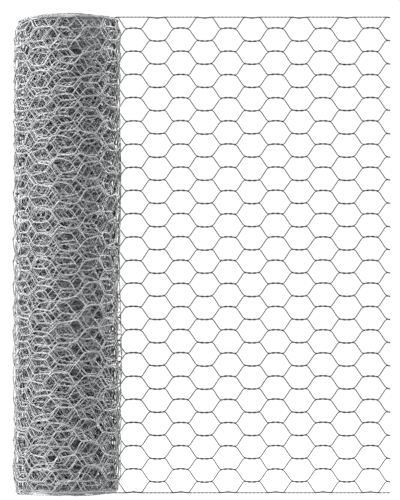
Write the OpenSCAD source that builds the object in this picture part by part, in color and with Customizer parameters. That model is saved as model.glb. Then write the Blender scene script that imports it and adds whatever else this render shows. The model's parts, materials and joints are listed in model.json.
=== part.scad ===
// A standing roll of hexagonal wire netting (chicken wire), wound from one length,
// with its loose end drawn out flat from the back of the roll.
// Millimetres. +Z is up along the roll's axis, and the origin is on that axis at the floor.
// The loose end runs towards +X.

/* [Netting] */
// Width of the netting, which is the height of the standing roll
netting_width = 500; // [300:10:1000]
// Nominal mesh: the distance between two twisted sides of a hexagon
mesh_size = 25; // [18:1:50]
// Distance along the netting from one column of twists to the next
column_pitch = 24.8; // [20:0.2:50]
// Length of a twisted side of a hexagon
twist_length = 16; // [10:0.5:18]
// Diameter of the galvanised wire
wire_d = 1; // [0.6:0.05:1.4]

/* [Roll] */
// Outer diameter of the roll
roll_d = 116; // [90:1:300]
// Diameter of the open core
core_d = 34; // [20:1:70]
// Distance from one turn to the next
turn_pitch = 1.1; // [0.9:0.05:4]

/* [Loose end] */
// Distance from the roll's axis to the cut edge
loose_length = 336; // [150:1:900]
// Length of twist left at the cut edge
stub_length = 4; // [2:0.5:8]
// Depth of the loose end below the roll's outermost line, where the two run together
loose_inset = 0.3; // [0.1:0.05:1]

/* [Hidden] */
zinc = [0.72, 0.73, 0.74];
$fn = 96;

roll_r = roll_d / 2;
core_r = core_d / 2;

// Two wires twisted together make each twisted side, and each edge of the netting.
pair_w = 2 * wire_d;

// Rows of hexagons: a whole number and a half fill the width between the two edges.
rows = round((netting_width - pair_w) / mesh_size - 0.5);
row_pitch = (netting_width - pair_w) / (rows + 0.5);

// The sloping single wire between two columns of twists.
slope_run = column_pitch - twist_length;
slope_rise = row_pitch / 2;
slope_length = norm([slope_run, slope_rise]);

// Columns are counted back from the cut edge. Column 0 is the one that the cut goes through.
cut_column_x = loose_length - stub_length + twist_length / 2;
columns = floor(cut_column_x / column_pitch);
function column_x(column) = cut_column_x - column * column_pitch;

// Height of a twist's centre line. Odd columns start a whole mesh above the lower edge,
// and even columns start half a mesh above it.
function twist_z(column, row) = wire_d + (row + (column % 2 == 1 ? 1 : 0.5)) * row_pitch;

// The clear opening inside one hexagon, around its centre.
opening_tip = column_pitch - twist_length / 2 - slope_length * wire_d / (2 * slope_rise);
opening_top = (row_pitch - pair_w) / 2;
opening_flat = opening_tip - slope_run * opening_top / slope_rise;

// The roll's turns.
turns = round((roll_r - core_r) / turn_pitch);
turn_step = (roll_r - core_r) / turns;
groove_w = max(turn_step - wire_d, turn_step / 3);
groove_depth = wire_d;

// One end of the roll's section from core to rim, with a groove between each two turns.
function end_outline(depth) = concat(
    [[core_r, 0]],
    [for (turn = [1 : turns - 1], side = [-1 : 1])
        [core_r + turn * turn_step + side * groove_w / 2, side == 0 ? depth : 0]],
    [[roll_r, 0]]);

// The wound turns as one turned solid around the open core.
module wound_turns() {
    lower = end_outline(groove_depth);
    upper = [for (i = [len(lower) - 1 : -1 : 0]) [lower[i].x, netting_width - lower[i].y]];
    rotate_extrude()
        polygon(concat(lower, upper));
}

module hexagon_opening() {
    polygon([
        [opening_tip, 0], [opening_flat, opening_top], [-opening_flat, opening_top],
        [-opening_tip, 0], [-opening_flat, -opening_top], [opening_flat, -opening_top]]);
}

// The thick middle of each edge's twisted pair, drawn flat.
module edge_pairs() {
    for (z = [wire_d, netting_width - wire_d])
        translate([0, z - wire_d / 2])
            square([loose_length, wire_d]);
}

// The thick middle of every twisted side, drawn flat. The cut leaves only a stub of those in
// column 0.
module twist_pairs() {
    for (column = [0 : columns], row = [0 : rows - 1]) {
        start = max(0, column_x(column) - twist_length / 2);
        end = min(loose_length, column_x(column) + twist_length / 2);
        translate([start, twist_z(column, row) - wire_d / 2])
            square([end - start, wire_d]);
    }
}

// The whole mesh of the loose end, drawn flat.
module mesh_pattern() {
    difference() {
        square([loose_length, netting_width]);
        for (column = [0 : columns + 1], row = [-1 : rows - 1])
            translate([column_x(column), twist_z(column, row) + row_pitch / 2])
                hexagon_opening();
    }
}

// Stands a flat drawing up as a layer of the loose end, centred on its middle plane.
module stand_up(thickness) {
    translate([0, roll_r - loose_inset - wire_d + thickness / 2, 0])
        rotate([90, 0, 0])
            linear_extrude(thickness)
                children();
}

// Single wires are one wire thick. A twisted pair is two wires wide, and two thick in its middle.
module loose_end() {
    stand_up(wire_d)
        mesh_pattern();
    stand_up(pair_w) {
        edge_pairs();
        twist_pairs();
    }
}

// One length of netting: the wound turns and the loose end run into each other.
module wire_netting() {
    color(zinc) {
        wound_turns();
        loose_end();
    }
}

wire_netting();
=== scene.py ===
import json
import math

import bpy
import numpy as np
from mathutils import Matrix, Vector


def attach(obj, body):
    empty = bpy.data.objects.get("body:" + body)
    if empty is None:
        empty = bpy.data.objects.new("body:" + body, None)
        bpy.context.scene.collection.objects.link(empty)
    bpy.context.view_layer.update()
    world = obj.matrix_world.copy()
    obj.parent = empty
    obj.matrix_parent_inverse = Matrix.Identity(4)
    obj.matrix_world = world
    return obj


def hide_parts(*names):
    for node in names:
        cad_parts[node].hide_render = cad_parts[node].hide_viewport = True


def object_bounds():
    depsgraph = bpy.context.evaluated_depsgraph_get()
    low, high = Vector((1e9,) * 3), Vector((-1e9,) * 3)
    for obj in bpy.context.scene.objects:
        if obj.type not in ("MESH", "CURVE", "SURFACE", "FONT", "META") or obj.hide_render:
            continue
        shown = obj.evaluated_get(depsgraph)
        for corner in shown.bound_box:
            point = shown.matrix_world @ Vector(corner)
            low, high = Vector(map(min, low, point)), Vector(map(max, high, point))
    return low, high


# A standing roll of galvanised hexagonal netting, with its loose end drawn out flat.
# Every wire follows its real route: along the loose end, then round the spiral to the core.
# Lengths are metres, in the part's own frame: +Z is up the roll's axis, and +X along the loose end.

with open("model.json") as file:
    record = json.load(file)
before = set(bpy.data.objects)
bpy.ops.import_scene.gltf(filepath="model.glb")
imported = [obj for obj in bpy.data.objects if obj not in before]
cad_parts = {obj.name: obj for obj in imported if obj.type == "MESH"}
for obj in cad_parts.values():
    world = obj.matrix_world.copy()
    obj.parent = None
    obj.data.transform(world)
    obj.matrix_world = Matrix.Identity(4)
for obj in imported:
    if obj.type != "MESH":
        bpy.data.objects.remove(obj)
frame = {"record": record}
LOWEST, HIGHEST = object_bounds()
MOUNTS = {mount["name"]: mount for mount in frame["record"]["mounts"]}

# The netting
WIRE_D = 0.0010
STRAND_D = 0.00065
ROWS = 20
COLUMN_PITCH = 0.0248
TWIST_LENGTH = 0.016
STUB_LENGTH = 0.004
TWIST_BOW = 0.0009
WIDTH = HIGHEST.z - LOWEST.z
EDGE_INSET = WIRE_D
HALF_ROW = (WIDTH - 2 * EDGE_INSET) / (2 * ROWS + 1)
STEPS_ACROSS = 2 * ROWS + 1
WIRES = 2 * ROWS + 1

# The roll. Its turns are counted inwards from the rim. RIM_R is the radius of the netting's middle
# plane where the outer turn begins, set in from the outline to leave room for wires and dents.
ROLL_R = -LOWEST.x
CORE_R = MOUNTS["core"]["dims"]["r_mm"] / 1000
LOOSE_LENGTH = HIGHEST.x
RIM_INSET = 0.0022
RIM_R = ROLL_R - RIM_INSET
TURN_STEP = 0.00112
GROWTH = TURN_STEP / (2 * math.pi)
TURNS = (RIM_R - CORE_R - WIRE_D) / TURN_STEP

# How many values a list with one for each turn has: a few to spare past the last turn.
TURN_VALUES = int(TURNS) + 3

# The two strands along each edge are twisted together all the way, six turns between the
# columns where a mesh wire joins them. Where it does, the three lie BUNDLE_R from their middle.
STRAND_TURNS = 6
STRAND_PITCH = 2 * COLUMN_PITCH / STRAND_TURNS
STRAND_R = STRAND_D / 2
BUNDLE_R = 0.00046

# Detail: sides of a wire, half turns of a twist, and rings along a twist, a slope and one turn
# of the edge strands. It falls towards the core, where turns hide each other.
FINE = {"sides": 6, "half_turns": 3, "twist": 11, "slope": 5, "edge": 9}
MEDIUM = {"sides": 4, "half_turns": 3, "twist": 9, "slope": 4, "edge": 7}
COARSE = {"sides": 3, "half_turns": 3, "twist": 7, "slope": 2, "edge": 6}
DEEP = {"sides": 3, "half_turns": 1, "twist": 3, "slope": 1, "edge": 2}

random = np.random.default_rng(7)


def smooth(t):
    """A smooth rise from 0 to 1."""
    t = np.clip(t, 0, 1)
    return t * t * (3 - 2 * t)


def wound_length(turn):
    """Length of netting in a number of turns, counted from the rim."""
    return math.pi * turn * (2 * RIM_R - TURN_STEP * turn)


COLUMNS = int((LOOSE_LENGTH + wound_length(TURNS)) / COLUMN_PITCH)


# ---------------------------------------------------------------- where the netting lies


class Waves:
    """A smooth random field over the netting: the sum of a few slow waves, about 1 in size."""

    def __init__(self, count, across, up, by_turn):
        self.across = random.uniform(-1, 1, count) * across
        self.up = random.uniform(-1, 1, count) * up
        self.by_turn = random.uniform(-1, 1, count) * by_turn
        self.phase = random.uniform(0, 2 * math.pi, count)

    def __call__(self, angle, height, turn):
        total = 0
        for across, up, by_turn, phase in zip(self.across, self.up, self.by_turn, self.phase):
            total = total + np.sin(across * angle + up * height + by_turn * turn + phase)
        return total / math.sqrt(len(self.phase) / 2)


# The wound turns have dents that go through many of them, and loose places of their own. Their
# mesh is warped along and across the netting. Waves across go round a whole number of times in
# the dents, so that each turn's dents lie over the next one's.
DENTS = Waves(count=6, across=0, up=30, by_turn=0.5)
DENTS.across = np.array([1, 2, 2, 3, 3, 4])
LOOSE_TURNS = Waves(count=6, across=3, up=40, by_turn=3)
SIDE_WARP = Waves(count=7, across=4, up=70, by_turn=2.5)
UP_WARP = Waves(count=7, across=4, up=50, by_turn=2.5)
EDGE_WAVES = Waves(count=6, across=4, up=0, by_turn=4)
DENT_DEPTH = 0.0008
LOOSE_DEPTH = 0.0006
SIDE_WARP_SIZE = 0.0016
UP_WARP_SIZE = 0.0026
EDGE_WAVE_SIZE = 0.0007

# The irregularities grow from nothing over this length, where the loose end meets the roll.
ROLL_ON = 0.05

# The rolled netting is a little narrower than the loose end, and its top leans towards +X. No
# wire's middle lies beyond FARTHEST from the leaning axis.
ROLLED_WIDTH = 0.981
LEAN = 0.0010
FARTHEST = ROLL_R - 0.0006 - LEAN / 2

# Turns slip up and down on each other, so that their edges show one by one. The outer slips are
# chosen and the rest are random.
TURN_SLIP_SIZE = 0.0038
OUTER_SLIPS = [0.0003, 0.0003, 0.0034, -0.0034, 0.0015, -0.0018]
TURN_SLIP = random.uniform(-1, 1, TURN_VALUES) * TURN_SLIP_SIZE
TURN_SLIP[: len(OUTER_SLIPS)] = OUTER_SLIPS

# Each turn's mesh is shifted along and across, so that near turns don't lie mesh on mesh. From
# turn to turn the shares of a mesh grow by the steps of the R2 sequence, which spreads points
# evenly. They hold where a turn faces front and left, FACING of the way round.
FACING = 0.41
COLUMN_STRIDE, ROW_STRIDE = 0.7549, 0.5698
FACING_TURNS = np.concatenate([[0], np.arange(TURN_VALUES - 1) + FACING])
COLUMN_PLACE = (COLUMN_STRIDE * np.arange(TURN_VALUES)) % 1
ROW_PLACE = (ROW_STRIDE * np.arange(TURN_VALUES) + 0.25) % 1 - 0.25

# Half a mesh across with half a mesh along is the same netting, so no row shift is over a quarter.
COLUMN_PLACE[ROW_PLACE > 0.25] += 0.5
ROW_PLACE[ROW_PLACE > 0.25] -= 0.5
ROW_SLIP = ROW_PLACE * 2 * HALF_ROW


def turn_shifts():
    """How far each turn's netting is shifted along, to bring its columns to COLUMN_PLACE."""
    period = 2 * COLUMN_PITCH
    shifts = [0.0]
    for turn, share in zip(FACING_TURNS[1:], COLUMN_PLACE[1:]):
        off = share * period - wound_length(turn) - shifts[-1]
        shifts.append(shifts[-1] + (off + period / 2) % period - period / 2)
    return np.array(shifts)


TURN_SHIFT = turn_shifts()

# The upper edge sinks at the roll's left side, and by RIGHT_DROP of that at its right. Both edges
# curl in over EDGE_CURL_WIDTH. Drop and curl fade inwards, each over its number of turns.
EDGE_DROP = 0.012
EDGE_DROPS = EDGE_DROP * random.uniform(0.5, 1, TURN_VALUES)
EDGE_DROP_TURNS = 5
RIGHT_DROP = 0.4
EDGE_CURL = 0.0035
EDGE_CURL_WIDTH = 0.016
EDGE_CURL_TURNS = 4

# Share of the width over which the mesh's shifts across grow from nothing at an edge.
STEADY_EDGE = 0.1

# How far a twist's ends stand out of the roll, past its middle.
STRAIGHT_TWIST = 0.0009


def spiral_angle(wound):
    """Angle turned round the roll after a length of wound netting."""
    return (RIM_R - np.sqrt(np.maximum(RIM_R**2 - 2 * GROWTH * wound, 0))) / GROWTH


def place(s, z, out):
    """Points of the netting in the frame, and the direction out of its face there.

    s is the distance along the netting from the cut edge, z the height above the lower edge
    and out the distance out of the netting's face.
    """
    wound = np.maximum(s - LOOSE_LENGTH, 0)
    angle = spiral_angle(wound)
    turn = angle / (2 * math.pi)
    rolled = smooth(wound / ROLL_ON)

    side = s + SIDE_WARP_SIZE * rolled * SIDE_WARP(angle, z, turn)
    side = side + np.interp(turn, FACING_TURNS, TURN_SHIFT)
    angle = spiral_angle(np.maximum(side - LOOSE_LENGTH, 0))

    share = z / WIDTH
    inside = smooth(share / STEADY_EDGE) * smooth((1 - share) / STEADY_EDGE)
    slip = np.interp(turn, np.arange(TURN_VALUES), TURN_SLIP)
    slip = slip + EDGE_WAVE_SIZE * EDGE_WAVES(angle, z, turn)
    height = WIDTH / 2 + (z - WIDTH / 2) * (1 - (1 - ROLLED_WIDTH) * rolled)
    row_slip = np.interp(turn, FACING_TURNS, ROW_SLIP)
    height = height + rolled * (slip + inside * (row_slip + UP_WARP_SIZE * UP_WARP(angle, z, turn)))
    to_side = np.sin(angle) ** 4 * np.where(np.sin(angle) > 0, 1, RIGHT_DROP)
    drop = np.interp(turn, np.arange(TURN_VALUES), EDGE_DROPS)
    height = height - rolled * drop * to_side * np.exp(-turn / EDGE_DROP_TURNS) * share**8

    dent = DENT_DEPTH * DENTS(angle, z, turn) + LOOSE_DEPTH * LOOSE_TURNS(angle, z, turn)
    near_edge = smooth(1 - np.minimum(z, WIDTH - z) / EDGE_CURL_WIDTH)
    dent = dent + EDGE_CURL * near_edge * np.exp(-turn / EDGE_CURL_TURNS)
    radius = np.minimum(RIM_R - GROWTH * angle + out - rolled * dent, FARTHEST)
    x = LOOSE_LENGTH - np.minimum(side, LOOSE_LENGTH) - radius * np.sin(angle)
    x = x + rolled * LEAN * (share - 0.5)
    y = radius * np.cos(angle)
    normal = np.stack([-np.sin(angle), np.cos(angle), np.zeros_like(angle)], -1)
    return np.stack([x, y, LOWEST.z + height], -1), normal


# ---------------------------------------------------------------- the wires' routes

SLACK_S = random.uniform(-1, 1, (COLUMNS + 2, STEPS_ACROSS + 1))
SLACK_Z = random.uniform(-1, 1, (COLUMNS + 2, STEPS_ACROSS + 1))
SLACK_Z[:, 0] = SLACK_Z[:, -1] = 0
SLACK_FLAT = 0.00022
SLACK_ROLLED = 0.0006

# Slack grows from flat to rolled over a length that starts before the roll.
SLACK_START = 0.06
SLACK_GROWTH = 0.08


def column_s(column):
    """Distance along the netting to a column of twists. The cut goes through column 0."""
    return column * COLUMN_PITCH - (TWIST_LENGTH / 2 - STUB_LENGTH)


def slack(column, step):
    """How far a twist lies from its regular place, along the netting and across it."""
    size = SLACK_FLAT + (SLACK_ROLLED - SLACK_FLAT) * smooth(
        (column_s(column) - LOOSE_LENGTH + SLACK_START) / SLACK_GROWTH
    )
    return size * SLACK_S[column, step], size * SLACK_Z[column, step]


def wire_steps(wire, column):
    """A wire's height at a column in half rows, and whether it climbs.

    Wires cross the netting from edge to edge, because each twist has an odd number of half turns.
    """
    phase = (column + 1 + 2 * wire) % (2 * STEPS_ACROSS)
    return np.where(phase <= STEPS_ACROSS, phase, 2 * STEPS_ACROSS - phase), phase < STEPS_ACROSS


def strand_phase(s, edge):
    """Angle of an edge's strands round their centre line.

    A mesh wire joins them at every other column.
    """
    first = column_s(1 if edge == 0 else 0)
    return math.pi / 2 + 2 * math.pi * (s - first) / STRAND_PITCH


def straightness(s, t):
    """How far a twist stands out of the roll, because twists are stiff and stay straight.

    Its ends stand out and its middle lies in, by 0.4 of the whole.
    """
    return STRAIGHT_TWIST * smooth((s - LOOSE_LENGTH) / ROLL_ON) * ((2 * t - 1) ** 2 - 0.4)


def twist_bow(t, column):
    """A twist is bowed, upwards in odd columns and downwards in even ones."""
    return TWIST_BOW * (1 - (2 * t - 1) ** 2) * np.where(column % 2 == 1, 1, -1)


def twist_route(wire, column, t, half_turns):
    """A wire's route through the twist at a column, at shares t of its length."""
    step, climbs = wire_steps(wire, column)
    slack_s, slack_z = slack(column, step)
    s = column_s(column) + slack_s + (t - 0.5) * TWIST_LENGTH
    middle = EDGE_INSET + step * HALF_ROW + slack_z + twist_bow(t, column)

    hand = np.where(column % 2 == 1, 1, -1)
    turned = -math.pi / 2 + half_turns * math.pi * t + np.where(climbs, 0, math.pi)
    up = WIRE_D / 2 * np.sin(turned)
    out = WIRE_D / 2 * np.cos(turned) * hand

    at_edge = (step == 0) | (step == STEPS_ACROSS)
    inward = np.where(step == 0, 1, -1)
    phase = np.where(step == 0, strand_phase(s, 0), strand_phase(s, 1))
    up = np.where(at_edge, inward * BUNDLE_R * np.sin(phase), up)
    out = np.where(at_edge, BUNDLE_R * np.cos(phase), out + straightness(s, t))
    return s, middle + up, out


def slope_route(start, end, t):
    """A wire's route between two twists, a straight slope with rounded corners."""
    corner = 0.16
    ramp = np.where(
        t < corner,
        t**2 / (2 * corner),
        np.where(t > 1 - corner, 1 - corner - (1 - t) ** 2 / (2 * corner), t - corner / 2),
    ) / (1 - corner)
    (s0, z0, out0), (s1, z1, out1) = start, end
    return s0 + (s1 - s0) * t, z0 + (z1 - z0) * ramp, out0 + (out1 - out0) * smooth(t)


def mesh_wire_routes(first, last, detail):
    """Routes of all the mesh wires from the middle of one column of twists to that of another."""
    wire = np.arange(WIRES)[:, None, None]
    column = np.arange(first, last + 1)[None, :, None]
    t = np.linspace(0, 1, detail["twist"])[None, None, :]
    twist = twist_route(wire, column, t, detail["half_turns"])
    start = [a[:, :-1, -1:] for a in twist]
    end = [a[:, 1:, :1] for a in twist]
    share = np.linspace(0, 1, detail["slope"] + 2)[1:-1][None, None, :]
    slope = slope_route(start, end, share)
    routes = []
    half = detail["twist"] // 2
    for in_twist, in_slope in zip(twist, slope):
        in_slope = np.concatenate([in_slope, in_slope[:, -1:]], axis=1)
        whole = np.concatenate([in_twist, in_slope], axis=2).reshape(WIRES, -1)
        whole = whole[:, : whole.shape[1] - in_slope.shape[2]]
        end_ring = whole.shape[1] - (half if last < COLUMNS else 0)
        whole = whole[:, (half if first > 0 else 0) : end_ring]
        routes.append(whole)
    if first == 0:
        kept = column_s(0) + (np.linspace(0, 1, detail["twist"]) - 0.5) * TWIST_LENGTH >= 0
        drop = int(np.argmax(kept)) - 1
        routes = [a[:, drop:] for a in routes]
    return routes


# The strands make room for a mesh wire over a length that starts JOINT_MARGIN before its twist
# and takes JOINT_FADE to open. They follow STRAND_BOW of the twist's bow.
JOINT_MARGIN = 0.002
JOINT_FADE = 0.003
STRAND_BOW = 0.8


def strand_routes(first, last, detail, edge):
    """Routes of an edge's two strands between the middles of two columns."""
    start, end = max(column_s(first), 0), column_s(last)
    rings = int((end - start) / STRAND_PITCH * detail["edge"]) + 1
    s = np.linspace(start, end, rings)
    odd = 1 if edge == 0 else 0
    pair = 2 * COLUMN_PITCH
    from_joint = (s - column_s(odd) + COLUMN_PITCH) % pair - COLUMN_PITCH
    t = np.clip(from_joint / TWIST_LENGTH + 0.5, 0, 1)
    joined = smooth((TWIST_LENGTH / 2 + JOINT_MARGIN - np.abs(from_joint)) / JOINT_FADE)
    bow = TWIST_BOW * (1 - (2 * t - 1) ** 2) * STRAND_BOW
    inward = 1 if edge == 0 else -1
    middle = (EDGE_INSET if edge == 0 else WIDTH - EDGE_INSET) + inward * bow
    radius = STRAND_R + (BUNDLE_R - STRAND_R) * joined
    routes = []
    for side in (-1, 1):
        apart = math.radians(90) + math.radians(30) * joined
        turned = strand_phase(s, edge) + side * apart
        routes.append((s, middle + inward * radius * np.sin(turned), radius * np.cos(turned)))
    return [np.stack(axis) for axis in zip(*routes)]


# ---------------------------------------------------------------- meshes


def tube_mesh(points, outward, diameter, sides):
    """Vertices and faces of round wires along routes, which are rows of points.

    Their ends are capped, and nothing leaves the part's box, so that the cut is square.
    """
    wires, rings = points.shape[:2]
    along = np.gradient(points, axis=1)
    along /= np.linalg.norm(along, axis=2, keepdims=True)
    across = np.cross(along, outward)
    across /= np.linalg.norm(across, axis=2, keepdims=True)
    face_out = np.cross(across, along)
    radius = diameter / 2 * math.pi / (sides * math.sin(math.pi / sides))
    turned = 2 * math.pi * (np.arange(sides) + 0.5) / sides
    ring = (
        np.cos(turned)[None, None, :, None] * face_out[:, :, None, :]
        + np.sin(turned)[None, None, :, None] * across[:, :, None, :]
    )
    vertices = (points[:, :, None, :] + radius * ring).reshape(-1, 3)
    vertices = np.clip(vertices, LOWEST, HIGHEST)
    first = np.arange(wires)[:, None, None] * rings * sides
    row = np.arange(rings - 1)[None, :, None] * sides
    corner = np.arange(sides)[None, None, :]
    following = (corner + 1) % sides
    quads = np.stack(
        [
            first + row + corner,
            first + row + following,
            first + row + sides + following,
            first + row + sides + corner,
        ],
        -1,
    ).reshape(-1, 4)
    begin = np.arange(wires)[:, None] * rings * sides
    caps = np.concatenate(
        [
            begin + np.arange(sides)[None, ::-1],
            begin + (rings - 1) * sides + np.arange(sides)[None, :],
        ]
    )
    return vertices, quads, caps


def piece_from_tubes(name, tubes, material):
    """One object made of several tube meshes."""
    vertices, loops, totals = [], [], []
    offset = 0
    for points, quads, caps in tubes:
        vertices.append(points)
        for faces in (quads, caps):
            loops.append((faces + offset).ravel())
            totals.append(np.full(len(faces), faces.shape[1]))
        offset += len(points)
    vertices = np.concatenate(vertices)
    loops, totals = np.concatenate(loops), np.concatenate(totals)
    mesh = bpy.data.meshes.new(name)
    mesh.vertices.add(len(vertices))
    mesh.vertices.foreach_set("co", vertices.astype(np.float32).ravel())
    mesh.loops.add(len(loops))
    mesh.loops.foreach_set("vertex_index", loops.astype(np.int32))
    mesh.polygons.add(len(totals))
    mesh.polygons.foreach_set("loop_start", (np.cumsum(totals) - totals).astype(np.int32))
    mesh.update(calc_edges=True)
    mesh.shade_smooth()
    mesh.materials.append(material)
    piece = bpy.data.objects.new(name, mesh)
    bpy.context.scene.collection.objects.link(piece)
    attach(piece, "root")
    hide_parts("wire_netting")
    return piece


def netting_piece(name, first, last, detail, material):
    """All the wires of the netting between two columns."""
    points, outward = place(*mesh_wire_routes(first, last, detail))
    tubes = [tube_mesh(points, outward, WIRE_D, detail["sides"])]
    for edge in (0, 1):
        points, outward = place(*strand_routes(first, last, detail, edge))
        tubes.append(tube_mesh(points, outward, STRAND_D, detail["sides"]))
    return piece_from_tubes(name, tubes, material)


# ---------------------------------------------------------------- material


def galvanised_wire():
    """Dull zinc on drawn steel wire, with paler and darker patches and a fine grain."""
    material = bpy.data.materials.new("galvanised_wire")
    material.use_nodes = True
    nodes, links = material.node_tree.nodes, material.node_tree.links
    shader = nodes["Principled BSDF"]
    shader.inputs["Metallic"].default_value = 0.4
    place_on = nodes.new("ShaderNodeTexCoord").outputs["Object"]

    def noise(scale, detail):
        texture = nodes.new("ShaderNodeTexNoise")
        texture.inputs["Scale"].default_value = scale
        texture.inputs["Detail"].default_value = detail
        links.new(place_on, texture.inputs["Vector"])
        return texture.outputs["Fac"]

    def ramp(factor, low, high):
        node = nodes.new("ShaderNodeMapRange")
        node.inputs["From Min"].default_value = 0.3
        node.inputs["From Max"].default_value = 0.7
        node.inputs["To Min"].default_value = low
        node.inputs["To Max"].default_value = high
        links.new(factor, node.inputs["Value"])
        return node.outputs["Result"]

    patches = noise(scale=90, detail=3)
    grain = noise(scale=1800, detail=2)
    colour = nodes.new("ShaderNodeMix")
    colour.data_type = "RGBA"
    colour.inputs[6].default_value = (0.20, 0.21, 0.22, 1)
    colour.inputs[7].default_value = (0.36, 0.36, 0.36, 1)
    links.new(ramp(patches, 0.0, 1.0), colour.inputs[0])
    links.new(colour.outputs[2], shader.inputs["Base Color"])
    links.new(ramp(grain, 0.45, 0.62), shader.inputs["Roughness"])
    bump = nodes.new("ShaderNodeBump")
    bump.inputs["Strength"].default_value = 0.25
    bump.inputs["Distance"].default_value = 0.00006
    links.new(grain, bump.inputs["Height"])
    links.new(bump.outputs["Normal"], shader.inputs["Normal"])
    return material


# ---------------------------------------------------------------- the netting

zinc = galvanised_wire()


def column_at_turn(turn):
    """The last column of twists before a turn begins, with turns counted from the rim."""
    return int((LOOSE_LENGTH + wound_length(turn)) / COLUMN_PITCH)


SECTIONS = [
    ("loose_end", 0, column_at_turn(0), FINE),
    ("turn_1", column_at_turn(0), column_at_turn(1), FINE),
    ("turns_2_to_3", column_at_turn(1), column_at_turn(3), MEDIUM),
    ("turns_4_to_5", column_at_turn(3), column_at_turn(5), MEDIUM),
    ("turns_6_to_9", column_at_turn(5), column_at_turn(9), COARSE),
    ("turns_10_to_20", column_at_turn(9), column_at_turn(20), DEEP),
    ("inner_turns", column_at_turn(20), COLUMNS, DEEP),
]
pieces = [netting_piece(name, first, last, detail, zinc) for name, first, last, detail in SECTIONS]
wound = pieces[1:]

# ---------------------------------------------------------------- floor, lights and camera


def add_floor():
    """A pale floor. It shows white, like the backdrop, and its glow doesn't light the object."""
    bpy.ops.mesh.primitive_circle_add(
        vertices=96, radius=4.0, fill_type="NGON", location=(0, 0, LOWEST.z)
    )
    floor = bpy.context.object
    floor.name = "floor"
    material = bpy.data.materials.new("floor")
    material.use_nodes = True
    nodes, links = material.node_tree.nodes, material.node_tree.links
    shader = nodes["Principled BSDF"]
    shader.inputs["Base Color"].default_value = (0.8, 0.8, 0.8, 1)
    shader.inputs["Roughness"].default_value = 0.9
    shader.inputs["Emission Color"].default_value = (1, 1, 1, 1)
    seen = nodes.new("ShaderNodeMath")
    seen.operation = "MULTIPLY"
    seen.inputs[1].default_value = 1.0
    links.new(nodes.new("ShaderNodeLightPath").outputs["Is Camera Ray"], seen.inputs[0])
    links.new(seen.outputs[0], shader.inputs["Emission Strength"])
    floor.data.materials.append(material)


def add_area_light(name, location, target, size, power, lit=None):
    """A soft light aimed at a point.

    With `lit`, a list of pieces, only those take its light and cast shadows in it.
    """
    data = bpy.data.lights.new(name, "AREA")
    data.shape = "RECTANGLE"
    data.size, data.size_y = size
    data.energy = power
    light = bpy.data.objects.new(name, data)
    light.location = location
    direction = np.array(target) - np.array(location)
    light.rotation_euler = Vector(direction).to_track_quat("-Z", "Y").to_euler()
    bpy.context.scene.collection.objects.link(light)
    if lit:
        linked = bpy.data.collections.new(name + "_lights")
        for piece in lit:
            linked.objects.link(piece)
        light.light_linking.receiver_collection = linked
        light.light_linking.blocker_collection = linked


def add_world():
    """White behind the object, and a dimmer grey all round to light it."""
    world = bpy.data.worlds.new("studio")
    bpy.context.scene.world = world
    world.use_nodes = True
    nodes, links = world.node_tree.nodes, world.node_tree.links
    nodes.clear()
    output = nodes.new("ShaderNodeOutputWorld")
    seen, lighting = nodes.new("ShaderNodeBackground"), nodes.new("ShaderNodeBackground")
    seen.inputs["Strength"].default_value = 1.05
    seen.inputs["Color"].default_value = (1, 1, 1, 1)
    lighting.inputs["Color"].default_value = (0.96, 0.98, 1.0, 1)
    lighting.inputs["Strength"].default_value = 0.06
    which = nodes.new("ShaderNodeLightPath").outputs["Is Camera Ray"]
    mix = nodes.new("ShaderNodeMixShader")
    links.new(which, mix.inputs[0])
    links.new(lighting.outputs[0], mix.inputs[1])
    links.new(seen.outputs[0], mix.inputs[2])
    links.new(mix.outputs[0], output.inputs[0])


# The camera's distance from the back of the roll, how much it sees from top to bottom there, and
# where it stands from the middle of the object, to the right and up.
CAMERA_DISTANCE = 5.057
VIEW_HEIGHT = 0.5237
CAMERA_RIGHT, CAMERA_UP = -0.0022, 0.0052


def add_camera():
    """A level camera, square to the loose end."""
    data = bpy.data.cameras.new("camera")
    data.sensor_width = 36
    data.lens = data.sensor_width * CAMERA_DISTANCE / VIEW_HEIGHT
    camera = bpy.data.objects.new("camera", data)
    middle = (LOWEST + HIGHEST) / 2
    camera.location = (
        middle.x + CAMERA_RIGHT,
        HIGHEST.y - CAMERA_DISTANCE,
        middle.z + CAMERA_UP,
    )
    camera.rotation_euler = (math.radians(90), 0, 0)
    bpy.context.scene.collection.objects.link(camera)
    bpy.context.scene.camera = camera


# The overhead light lights everything. The others light only the roll and pass through the rest,
# the floor too, so that the loose end's wires stay dark against the white beside a bright roll.
ROLL_MIDDLE = (0, 0, 0.25)
ROLL_LIGHTS = [
    # name, location, target, size, power
    ("left", (-1.3, -0.4, 0.6), ROLL_MIDDLE, (0.4, 0.8), 15),
    ("right", (1.4, -0.1, 0.5), ROLL_MIDDLE, (0.3, 0.8), 19),
    ("front_left", (-1.3, -1.0, 1.0), ROLL_MIDDLE, (0.5, 0.6), 46),
    ("front_right", (0.7, -1.2, 1.1), ROLL_MIDDLE, (0.6, 0.6), 5),
    ("front_top", (-0.3, -0.7, 1.9), ROLL_MIDDLE, (0.7, 0.7), 14),
    ("back_left", (-1.0, 0.7, 0.9), ROLL_MIDDLE, (0.5, 0.8), 17),
    ("back_right", (1.0, 0.7, 0.9), ROLL_MIDDLE, (0.5, 0.8), 22),
    ("from_floor", (-0.1, -0.4, -0.4), (0, 0, 0), (0.8, 0.4), 9),
]

add_floor()
add_area_light("overhead", (-0.1, -0.3, 1.7), (0, 0, 0.3), (0.6, 0.6), 12)
for name, location, target, size, power in ROLL_LIGHTS:
    add_area_light(name, location, target, size, power, wound)
add_world()
add_camera()
bpy.context.scene.view_settings.view_transform = "Standard"
